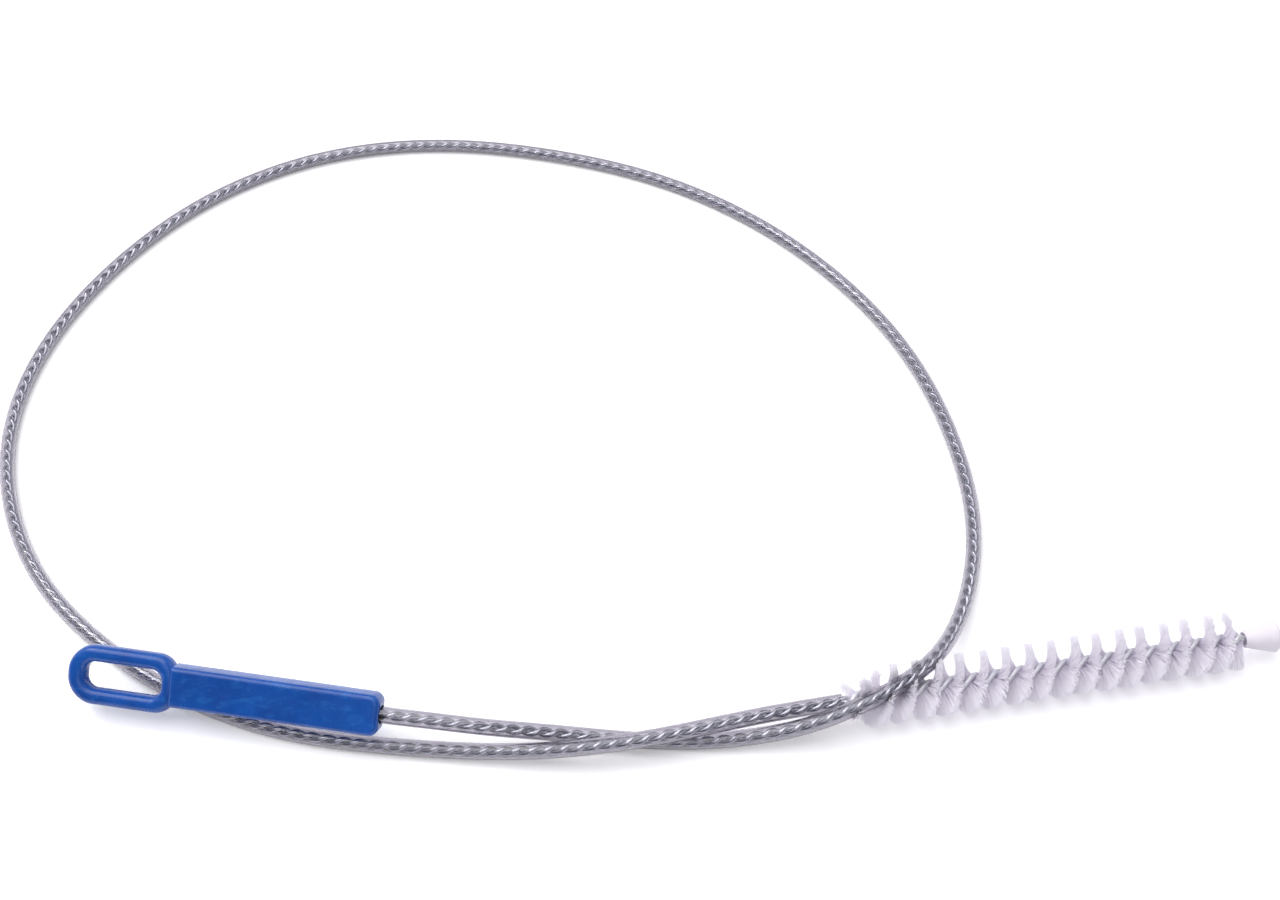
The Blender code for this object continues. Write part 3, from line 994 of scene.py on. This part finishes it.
    def bristles(self, side: Side, stem: Stem, finish: bpy.types.Material) -> bpy.types.Object:
        """Makes one half of the sheet as strands with closed ends, a little thinner at the free one.

        Args:
            side: which half.
            stem: the stem that crosses over the head and presses strands down.
            finish: the nylon.

        Returns:
            The piece.
        """
        lines, share, tone = self.strand_lines(side)
        lines = self.pressed(lines, stem)
        ahead = unit(np.gradient(lines, axis=1))
        across = unit(np.cross(ahead, NO_STRANDS_WAY))
        radius = self.strand_diameter / 2 * (1 - self.strand_taper * share)
        rings = sweep(lines, across, np.cross(ahead, across), radius, self.strand_sides)
        count, points = lines.shape[:2]
        quads = grid_faces(points, self.strand_sides, False, True)
        last = (points - 1) * self.strand_sides
        ends = np.array([[2, 1, 0], [last, last + 1, last + 2]])
        one = np.concatenate([quads[:, [0, 1, 2]], quads[:, [0, 2, 3]], ends])
        first_points = np.arange(count)[:, None, None] * points * self.strand_sides
        faces = (one + first_points).reshape(-1, 3)
        obj = link_mesh(f"bristles_{side.name.lower()}", rings, faces, Shade.CREASED)
        mark_points(obj, "along_strand", np.tile(np.repeat(share, self.strand_sides), count))
        mark_points(obj, "strand_tone", np.repeat(tone, points * self.strand_sides))
        return dress(obj, finish, "nylon", "bristles")

    def pressed(self, lines: np.ndarray, stem: Stem) -> np.ndarray:
        """Strands held down by the stem that lies across them, and held up by the table.

        A point under or inside the stem comes down to the stem's underside, which at the distance d beside
        its axis is at the axis's height - sqrt(clearance squared - d squared). A point under the table is
        lifted onto it.

        Args:
            lines: strands, (strands, points, 3).
            stem: the stem.

        Returns:
            The pressed strands.
        """
        axis = stem.centre_line()
        near = np.linalg.norm(axis - HEAD_START, axis=1) < self.stem_reach
        axis = axis[near & (np.arange(len(axis)) < len(axis) // 2)]
        clear = stem.sheath_diameter / 2 + self.strand_diameter / 2
        beside = np.linalg.norm(lines[:, :, None, :2] - axis[None, None, :, :2], axis=3)
        nearest = beside.argmin(axis=2)
        depth = np.sqrt(np.clip(clear**2 - beside.min(axis=2) ** 2, 0, None))
        ceiling = np.where(depth > 0, axis[nearest, 2] - depth, np.inf)
        height = np.maximum(np.minimum(lines[..., 2], ceiling), self.floor_gap + self.strand_diameter / 2)
        return np.dstack([lines[..., :2], height])


@dataclass
class Tip:
    """Smooth moulded cone on the wires' ends, widest at its rounded front, so that it slides in a hose."""

    length: float = 8.2 * MM
    small_diameter: float = 4.3 * MM
    large_diameter: float = 8.6 * MM
    rim_radius: float = 0.9 * MM
    # share of a quarter turn that the rim makes before the dome takes over
    rim_share: float = 0.8
    dome_height: float = 1.1 * MM
    bore_radius: float = 1.45 * MM
    bore_depth: float = 5.5 * MM
    mouth_radius: float = 0.3 * MM
    turned_steps: int = 96
    lip_steps: int = 7
    wall_steps: int = 14
    rim_steps: int = 12

    def profile(self) -> np.ndarray:
        """Profile from the bore's bottom round the mouth to the crown of the dome.

        Both lips of the mouth and the rim are arcs, the wall is straight, and the dome rises with
        1 - (1 - way) squared as its radius shrinks evenly.

        Returns:
            Radius and distance from the small end of each point, (n, 2).
        """
        small, large = self.small_diameter / 2, self.large_diameter / 2
        mouth, rim = self.mouth_radius, self.rim_radius
        turn = np.linspace(0, math.pi / 2, self.lip_steps)
        depth = mouth * (1 - np.cos(turn))
        inner_lip = np.stack([self.bore_radius + mouth * (1 - np.sin(turn)), depth], axis=1)[::-1]
        outer_lip = np.stack([small - mouth + mouth * np.sin(turn), depth], axis=1)
        wall = np.linspace([small, mouth], [large, self.length - rim], self.wall_steps)[1:-1]
        turn = np.linspace(0, math.pi / 2, self.rim_steps) * self.rim_share
        edge = np.stack([large - rim + rim * np.cos(turn), self.length - rim + rim * np.sin(turn)], axis=1)
        radius, along = edge[-1]
        rise = self.length + self.dome_height - along
        left = 1 - np.linspace(0, 1, self.rim_steps)[1:]
        dome = np.stack([radius * left, along + rise * (1 - left**2)], axis=1)
        bottom = [[0.0, self.bore_depth], [self.bore_radius, self.bore_depth]]
        return np.concatenate([bottom, inner_lip, outer_lip, wall, edge, dome])

    def build(self, head: Head, finish: bpy.types.Material) -> bpy.types.Object:
        """Turns the profile on the head's axis.

        Args:
            head: the head that the tip sits on.
            finish: the plastic.

        Returns:
            The piece.
        """
        points = turned(self.profile() + [0.0, head.length + head.tip_set_off], self.turned_steps)
        faces = grid_faces(len(points), self.turned_steps, False, True)
        tip = link_mesh("tip_cone", placed(points, HEAD_START, HEAD_YAW, 0.0), faces, Shade.SMOOTH)
        tidy_mesh(tip, Shade.CREASED)
        return dress(tip, finish, "tip_plastic", "tip")


@dataclass
class Handle:
    """Blue moulded handle: a flat bar with rounded edges, and an oblong eye to hang it by."""

    length: float = 77.6 * MM
    bar_width: float = 10 * MM
    bar_thickness: float = 6 * MM
    bar_corner: float = 2.4 * MM
    bar_neck_corner: float = 0.6 * MM
    bar_edge: float = 1.25 * MM
    face_inset: float = 1.4 * MM
    least_corner: float = 0.1 * MM
    eye_length: float = 27.2 * MM
    eye_width: float = 14.6 * MM
    side_limb: float = 4 * MM
    end_limb: float = 4.5 * MM
    neck_limb: float = 3.7 * MM
    limb_thickness: float = 5 * MM
    end_radius: float = 6.8 * MM
    neck_radius: float = 5.2 * MM
    opening_radius: float = 2.6 * MM
    eye_seat: float = 1.3 * MM
    squareness: float = 0.8
    bore_radius: float = 2.3 * MM
    bore_depth: float = 24 * MM
    corner_steps: int = 16
    edge_steps: int = 8
    section_points: int = 36
    bore_sides: int = 48

    def outline(
        self, low: float, high: float, half_width: float, at_high: float, at_low: float, drawn_in: np.ndarray
    ) -> np.ndarray:
        """Outlines of a bar along X with round corners, anticlockwise, each drawn in by its own amount.

        A corner is a quarter circle whose centre lies its radius in from the bar's end and side.

        Args:
            low: the bar's low end.
            high: its high end.
            half_width: half its width.
            at_high: corner radius at the high end.
            at_low: corner radius at the low end.
            drawn_in: how far each outline is drawn in, (rings,).

        Returns:
            Points, (rings, n, 2).
        """
        quarter = np.linspace(0, math.pi / 2, self.corner_steps)
        inset = drawn_in[:, None]
        arcs = []
        for number, (ahead, side) in enumerate(((1, 1), (-1, 1), (-1, -1), (1, -1))):
            radius = np.maximum((at_high if ahead > 0 else at_low) - inset, self.least_corner)
            end = high - inset if ahead > 0 else low + inset
            turn = number * math.pi / 2 + quarter
            x = end - ahead * radius + radius * np.cos(turn)
            y = side * (half_width - inset - radius) + radius * np.sin(turn)
            arcs.append(np.stack([x, y], axis=-1))
        return np.concatenate(arcs, axis=1)

    def form(self, name: str, grid: np.ndarray, faces: np.ndarray) -> bpy.types.Object:
        """Puts a form of the handle's own frame in its place and mends its seams.

        Args:
            name: the form's name.
            grid: points, (rows, columns, 3).
            faces: its quads.

        Returns:
            The form.
        """
        points = placed(grid, SOCKET_MOUTH, HANDLE_YAW, HANDLE_ROLL)
        obj = link_mesh(name, points, faces, Shade.SMOOTH)
        tidy_mesh(obj, Shade.SMOOTH)
        return obj

    def bar(self) -> bpy.types.Object:
        """Makes the bar: outlines drawn in by edge * (1 - sin a), at the height half - edge * (1 - cos a).

        The angle a runs from 0 to a quarter turn up the lower edge and back over the upper one. Both faces
        close on a line along the bar's middle, by way of an outline halfway to it.

        Returns:
            The bar.
        """
        low = self.eye_length - self.eye_seat - self.length
        half_width, half_height = self.bar_width / 2, self.bar_thickness / 2
        turn = np.linspace(0, math.pi / 2, self.edge_steps)
        drawn_in = np.append(self.face_inset, self.bar_edge * (1 - np.sin(turn)))
        height = np.append(half_height, half_height - self.bar_edge * (1 - np.cos(turn)))
        inset = np.concatenate([drawn_in, drawn_in[::-1]])
        level = np.concatenate([-height, height[::-1]])
        flat = self.outline(low, 0.0, half_width, self.bar_corner, self.bar_neck_corner, inset)
        rings = np.dstack([flat, np.broadcast_to(level[:, None], flat.shape[:2])])
        spine = np.clip(rings[:, :, :1], low + half_width, -half_width)
        middle = np.concatenate([spine, np.zeros_like(spine), rings[:, :, 2:]], axis=2)
        way_in = np.array([1.0, 0.5])[:, None, None]
        lower = rings[:1] + (middle[:1] - rings[:1]) * way_in
        upper = rings[-1:] + (middle[-1:] - rings[-1:]) * way_in[::-1]
        grid = np.concatenate([lower, rings, upper])
        return self.form("handle_body", grid, grid_faces(*grid.shape[:2], False, True))

    def eye(self) -> bpy.types.Object:
        """Makes the eye: a superellipse carried round between the eye's outline and that of its opening.

        The section is half width * cos a across and half thickness * sin a up, with the size of each cosine
        and sine raised to the squareness.

        Returns:
            The eye.
        """
        low, high, half_width = -self.length, self.eye_length - self.length, self.eye_width / 2
        not_drawn_in = np.zeros(1)
        outer = self.outline(low, high, half_width, self.neck_radius, self.end_radius, not_drawn_in)[0]
        low, high, half_width = low + self.end_limb, high - self.neck_limb, half_width - self.side_limb
        corner = self.opening_radius
        inner = self.outline(low, high, half_width, corner, corner, not_drawn_in)[0]
        turn = np.linspace(0, 2 * math.pi, self.section_points, endpoint=False)
        waves = np.stack([np.cos(turn), np.sin(turn)])
        across, up = np.sign(waves) * np.abs(waves) ** self.squareness
        flat = (outer + inner)[:, None] / 2 + (outer - inner)[:, None] / 2 * across[None, :, None]
        grid = np.dstack([flat, np.broadcast_to(self.limb_thickness / 2 * up, flat.shape[:2])])
        return self.form("eye_form", grid, grid_faces(*grid.shape[:2], True, True)[:, ::-1])

    def bore_cutter(self) -> bpy.types.Object:
        """Makes the cutter for the socket's mouth: a round bar along the handle's axis, with closed ends.

        Returns:
            The cutter.
        """
        deep, out, radius = -self.bore_depth, MM, self.bore_radius
        grid = turned(np.array([[0.0, deep], [radius, deep], [radius, out], [0.0, out]]), self.bore_sides)
        return self.form("bore_form", grid, grid_faces(*grid.shape[:2], False, True))

    def build(self, finish: bpy.types.Material) -> bpy.types.Object:
        """Joins eye and bar, cuts the socket's mouth and dresses the handle.

        Args:
            finish: the blue plastic.

        Returns:
            The piece.
        """
        body = self.bar()
        tools = (("UNION", self.eye()), ("DIFFERENCE", self.bore_cutter()))
        for operation, tool in tools:
            modifier = body.modifiers.new(operation.title(), "BOOLEAN")
            modifier.object, modifier.operation, modifier.solver = tool, operation, "EXACT"
        apply_modifiers(body)
        for _, tool in tools:
            bpy.data.objects.remove(tool, do_unlink=True)
        shade_mesh(body.data, Shade.CREASED)
        return dress(body, finish, "handle_plastic", "handle")


@dataclass(frozen=True)
class Softbox:
    """Square soft lamp."""

    name: str
    place: tuple[float, float, float]
    side: float
    watts: float

    def hang(self, aim: tuple[float, float, float]) -> None:
        """Hangs the lamp in its place.

        Args:
            aim: the point that it is turned to.
        """
        data = bpy.data.lights.new(self.name, "AREA")
        data.shape, data.size, data.energy = "SQUARE", self.side, self.watts
        lamp = bpy.data.objects.new(self.name, data)
        lamp.location = self.place
        lamp.rotation_euler = (Vector(aim) - Vector(self.place)).to_track_quat("-Z", "Y").to_euler()
        bpy.context.scene.collection.objects.link(lamp)


@dataclass
class Studio:
    """Pale floor, soft lights and the photograph's camera."""

    camera_place: tuple[float, float, float] = (-0.011, -0.229, 0.339)
    camera_tilt: float = math.radians(42.43)
    lens: float = 46.25
    sensor: float = 36.0
    # nearest and farthest that the camera shows
    seen_from: float = 0.01
    seen_to: float = 20.0
    floor_half: float = 4.0
    floor_colour: str = "f4f3f5"
    floor_roughness: float = 0.9
    floor_glow: float = 0.25
    # colours of the surroundings, from their dimmest side to their brightest direction
    sky: Stops = ((0.0, "7c7c82"), (0.33, "9c9ca2"), (0.73, "c4c4ca"), (1.0, "d0d0d6"))
    sky_direction: tuple[float, float, float] = (0.0, 0.8, 0.6)
    sky_start: float = -0.5
    lamps_aim: tuple[float, float, float] = (0.0, 0.08, 0.0)
    # the wide one overhead draws the white dashes on the wires
    lamps: tuple[Softbox, ...] = (
        Softbox("top_softbox", (-0.3, 0.14, 1.15), 1.2, 10.6),
        Softbox("front_softbox", (0.0, -1.1, 1.1), 1.2, 3.8),
        Softbox("key_softbox", (-0.8, 0.4, 0.95), 0.4, 2.8),
        Softbox("right_softbox", (1.1, 0.5, 0.6), 1.0, 1.8),
        Softbox("left_softbox", (-1.2, 0.5, 0.6), 1.0, 1.8),
    )
    bounces: int = 32

    def camera(self) -> None:
        """Sets the camera where the photograph was taken. It looks down 47.6 degrees, fitted to the loop."""
        data = bpy.data.cameras.new("photo_camera")
        data.lens, data.sensor_width = self.lens, self.sensor
        data.clip_start, data.clip_end = self.seen_from, self.seen_to
        camera = bpy.data.objects.new("photo_camera", data)
        camera.location, camera.rotation_euler = self.camera_place, (self.camera_tilt, 0, 0)
        bpy.context.scene.collection.objects.link(camera)
        bpy.context.scene.camera = camera

    def floor(self) -> None:
        """Lays a pale floor that shows white to the camera and still takes the brush's shadow."""
        half = self.floor_half
        points = np.array([[-half, -half, 0], [half, -half, 0], [half, half, 0], [-half, half, 0]])
        floor = link_mesh("floor", points, np.array([[0, 1, 2, 3]]), Shade.SMOOTH)
        material, tree, shader = new_material("pale paper")
        feed(shader, {"Base Color": linear(self.floor_colour), "Roughness": self.floor_roughness})
        path = add_node(tree, "ShaderNodeLightPath").outputs
        seen = path["Is Camera Ray"]
        for ray in ("Is Glossy Ray", "Is Transmission Ray"):
            either = add_node(tree, "ShaderNodeMath", {0: seen, 1: path[ray]}, operation="MAXIMUM")
            seen = either.outputs["Value"]
        strength = add_node(tree, "ShaderNodeMath", {0: seen, 1: self.floor_glow}, operation="MULTIPLY")
        glow = add_node(tree, "ShaderNodeEmission", {"Strength": strength.outputs["Value"]})
        both = add_node(tree, "ShaderNodeAddShader", {0: shader.outputs["BSDF"], 1: glow.outputs["Emission"]})
        feed(tree.nodes["Material Output"], {"Surface": both.outputs["Shader"]})
        floor.data.materials.append(material)

    def world(self) -> None:
        """Sets pale surroundings that light the brush softly, brightest overhead and behind.

        The level is the direction's product with the brightest one, from the sky's start to 1.
        """
        world = bpy.data.worlds.new("studio")
        bpy.context.scene.world = world
        world.use_nodes = True
        tree = world.node_tree
        where = add_node(tree, "ShaderNodeTexCoord").outputs["Generated"]
        level = add_node(
            tree, "ShaderNodeVectorMath", {0: where, 1: self.sky_direction}, operation="DOT_PRODUCT"
        ).outputs["Value"]
        share = add_node(tree, "ShaderNodeMapRange", {"Value": level, "From Min": self.sky_start})
        sky = add_node(tree, "ShaderNodeValToRGB", {"Fac": share.outputs["Result"]}, self.sky)
        feed(tree.nodes["Background"], {"Color": sky.outputs["Color"]})

    def build(self) -> None:
        """Sets up the whole studio."""
        self.camera()
        self.floor()
        self.world()
        for lamp in self.lamps:
            lamp.hang(self.lamps_aim)
        scene = bpy.context.scene
        scene.view_settings.view_transform = "Standard"
        scene.cycles.max_bounces = self.bounces
        scene.cycles.diffuse_bounces = self.bounces
        scene.cycles.transmission_bounces = self.bounces


def main() -> None:
    """Builds the looks of the brush piece by piece round the fixed frame."""
    logging.basicConfig(level=logging.INFO, format="%(name)s: %(message)s")
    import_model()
    Studio().build()
    stem, head = Stem(), Head()
    steel = DrawnWire().build()
    stem.sheath([stem.wire(side, head, steel) for side in Side], ClearPvc().build())
    nylon = NylonFilament().build()
    for side in Side:
        head.bristles(side, stem, nylon)
    Tip().build(head, TipPlastic().build())
    Handle().build(MouldedPlastic().build())


if __name__ == "__main__":
    main()
